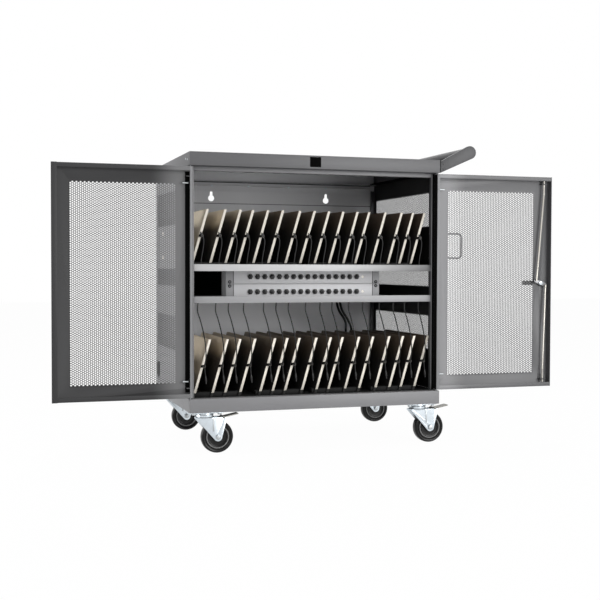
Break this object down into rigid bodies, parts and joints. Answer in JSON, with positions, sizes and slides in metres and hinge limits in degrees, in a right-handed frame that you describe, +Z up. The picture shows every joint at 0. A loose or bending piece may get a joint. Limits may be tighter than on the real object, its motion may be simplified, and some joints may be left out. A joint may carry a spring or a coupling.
{
  "type": "laptop charging cart",
  "caption": "Steel laptop charging cart on swivel casters, with perforated double doors on pin hinges, leaning divider rows, charging strips, a rod lock and a push handle.",
  "frame": {"origin": "on the floor under the middle of the cabinet", "axes": "+X to the push handle's end, +Y to the back, +Z up; the doors are at -Y"},
  "size_m": [1.631, 0.577, 0.965],
  "materials": {
    "body_paint": "satin dark grey powder coat",
    "shelf_paint": "satin light grey powder coat",
    "divider_coat": "satin cream",
    "strip_case": "satin mid grey",
    "zinc": "bright zinc plating",
    "wheel_rubber": "matte black",
    "black_plastic": "satin black",
    "cable_jacket": "satin black",
    "handle_paint": "satin grey powder coat"
  },
  "bodies": {
    "cabinet": {"base_tray": "body_paint", "left_wall": "body_paint", "right_wall": "body_paint", "back_wall": "body_paint", "top_lid": "body_paint", "header_rail": "body_paint", "rear_rail": "body_paint", "upper_shelf": "shelf_paint", "lower_shelf": "shelf_paint", "left_rack_bracket": "shelf_paint", "right_rack_bracket": "shelf_paint", "upper_dividers_1": "divider_coat", "upper_dividers_2": "divider_coat", "upper_dividers_3": "divider_coat", "upper_dividers_4": "divider_coat", "lower_dividers_1": "divider_coat", "lower_dividers_2": "divider_coat", "lower_dividers_3": "divider_coat", "lower_dividers_4": "divider_coat", "upper_charging_strip": "strip_case", "lower_charging_strip": "strip_case", "cord_hook": "zinc", "front_left_caster_plate": "zinc", "front_right_caster_plate": "zinc", "rear_left_caster_plate": "zinc", "rear_right_caster_plate": "zinc", "power_inlet": "black_plastic", "upper_cables": "cable_jacket", "lower_cables": "cable_jacket", "upper_supply_cord": "cable_jacket", "lower_supply_cord": "cable_jacket", "handle_front_arm": "handle_paint", "handle_rear_arm": "handle_paint", "handle_grip": "handle_paint"},
    "left_door": {"left_door": "body_paint"},
    "right_door": {"right_door": "body_paint", "upper_rod_guide": "zinc", "lower_rod_guide": "zinc"},
    "lock": {"lock_handle": "black_plastic", "lock_cam": "zinc"},
    "upper_rod": {"upper_lock_rod": "zinc"},
    "lower_rod": {"lower_lock_rod": "zinc"},
    "left_upper_pin": {"left_upper_hinge_pin": "zinc"},
    "left_lower_pin": {"left_lower_hinge_pin": "zinc"},
    "right_upper_pin": {"right_upper_hinge_pin": "zinc"},
    "right_lower_pin": {"right_lower_hinge_pin": "zinc"},
    "front_left_swivel": {"front_left_caster_fork": "zinc", "front_left_caster_axle": "zinc"},
    "front_left_wheel": {"front_left_caster_wheel": "wheel_rubber"},
    "front_right_swivel": {"front_right_caster_fork": "zinc", "front_right_caster_axle": "zinc"},
    "front_right_wheel": {"front_right_caster_wheel": "wheel_rubber"},
    "rear_left_swivel": {"rear_left_caster_fork": "zinc", "rear_left_caster_axle": "zinc"},
    "rear_left_wheel": {"rear_left_caster_wheel": "wheel_rubber"},
    "rear_right_swivel": {"rear_right_caster_fork": "zinc", "rear_right_caster_axle": "zinc"},
    "rear_right_wheel": {"rear_right_caster_wheel": "wheel_rubber"},
    "front_left_brake": {"front_left_brake_pedal": "zinc"},
    "front_right_brake": {"front_right_brake_pedal": "zinc"}
  },
  "joints": [
    {"name": "left_door_swing", "type": "hinge", "parent": "cabinet", "child": "left_door", "pos_m": [-0.405, -0.275, 0.52], "axis": [0, 0, 1], "range_deg": [0, 180]},
    {"name": "right_door_swing", "type": "hinge", "parent": "cabinet", "child": "right_door", "pos_m": [0.405, -0.275, 0.52], "axis": [0, 0, -1], "range_deg": [0, 180]},
    {"name": "lock_turn", "type": "hinge", "parent": "right_door", "child": "lock", "pos_m": [0.784, -0.275, 0.52], "axis": [0, 1, 0], "range_deg": [0, 70]},
    {"name": "upper_rod_slide", "type": "slide", "parent": "right_door", "child": "upper_rod", "axis": [0, 0, 1], "range_m": [0, 0.0125]},
    {"name": "lower_rod_slide", "type": "slide", "parent": "right_door", "child": "lower_rod", "axis": [0, 0, -1], "range_m": [0, 0.0125]},
    {"name": "left_upper_pin_pull", "type": "slide", "parent": "left_door", "child": "left_upper_pin", "axis": [0, 0, -1], "range_m": [0, 0.01], "stiffness_N_per_m": 400, "springref_m": -0.004},
    {"name": "left_lower_pin_pull", "type": "slide", "parent": "left_door", "child": "left_lower_pin", "axis": [0, 0, 1], "range_m": [0, 0.01], "stiffness_N_per_m": 400, "springref_m": -0.004},
    {"name": "right_upper_pin_pull", "type": "slide", "parent": "right_door", "child": "right_upper_pin", "axis": [0, 0, -1], "range_m": [0, 0.01], "stiffness_N_per_m": 400, "springref_m": -0.004},
    {"name": "right_lower_pin_pull", "type": "slide", "parent": "right_door", "child": "right_lower_pin", "axis": [0, 0, 1], "range_m": [0, 0.01], "stiffness_N_per_m": 400, "springref_m": -0.004},
    {"name": "front_left_swivel_turn", "type": "hinge", "parent": "cabinet", "child": "front_left_swivel", "pos_m": [-0.354, -0.2395, 0.118], "axis": [0, 0, 1], "continuous": true},
    {"name": "front_left_wheel_spin", "type": "hinge", "parent": "front_left_swivel", "child": "front_left_wheel", "pos_m": [-0.316, -0.2395, 0.05], "axis": [0, 1, 0], "continuous": true},
    {"name": "front_left_brake_press", "type": "hinge", "parent": "front_left_swivel", "child": "front_left_brake", "pos_m": [-0.299, -0.2395, 0.11], "axis": [0, 1, 0], "range_deg": [0, 12]},
    {"name": "front_right_swivel_turn", "type": "hinge", "parent": "cabinet", "child": "front_right_swivel", "pos_m": [0.354, -0.2395, 0.118], "axis": [0, 0, 1], "continuous": true},
    {"name": "front_right_wheel_spin", "type": "hinge", "parent": "front_right_swivel", "child": "front_right_wheel", "pos_m": [0.392, -0.2395, 0.05], "axis": [0, 1, 0], "continuous": true},
    {"name": "front_right_brake_press", "type": "hinge", "parent": "front_right_swivel", "child": "front_right_brake", "pos_m": [0.409, -0.2395, 0.11], "axis": [0, 1, 0], "range_deg": [0, 12]},
    {"name": "rear_left_swivel_turn", "type": "hinge", "parent": "cabinet", "child": "rear_left_swivel", "pos_m": [-0.354, 0.2395, 0.118], "axis": [0, 0, 1], "continuous": true},
    {"name": "rear_left_wheel_spin", "type": "hinge", "parent": "rear_left_swivel", "child": "rear_left_wheel", "pos_m": [-0.316, 0.2395, 0.05], "axis": [0, 1, 0], "continuous": true},
    {"name": "rear_right_swivel_turn", "type": "hinge", "parent": "cabinet", "child": "rear_right_swivel", "pos_m": [0.354, 0.2395, 0.118], "axis": [0, 0, 1], "continuous": true},
    {"name": "rear_right_wheel_spin", "type": "hinge", "parent": "rear_right_swivel", "child": "rear_right_wheel", "pos_m": [0.392, 0.2395, 0.05], "axis": [0, 1, 0], "continuous": true}
  ],
  "couplings": [
    {"joint": "upper_rod_slide", "follows": "lock_turn", "m_per_rad": 0.00982},
    {"joint": "lower_rod_slide", "follows": "lock_turn", "m_per_rad": 0.00982}
  ]
}
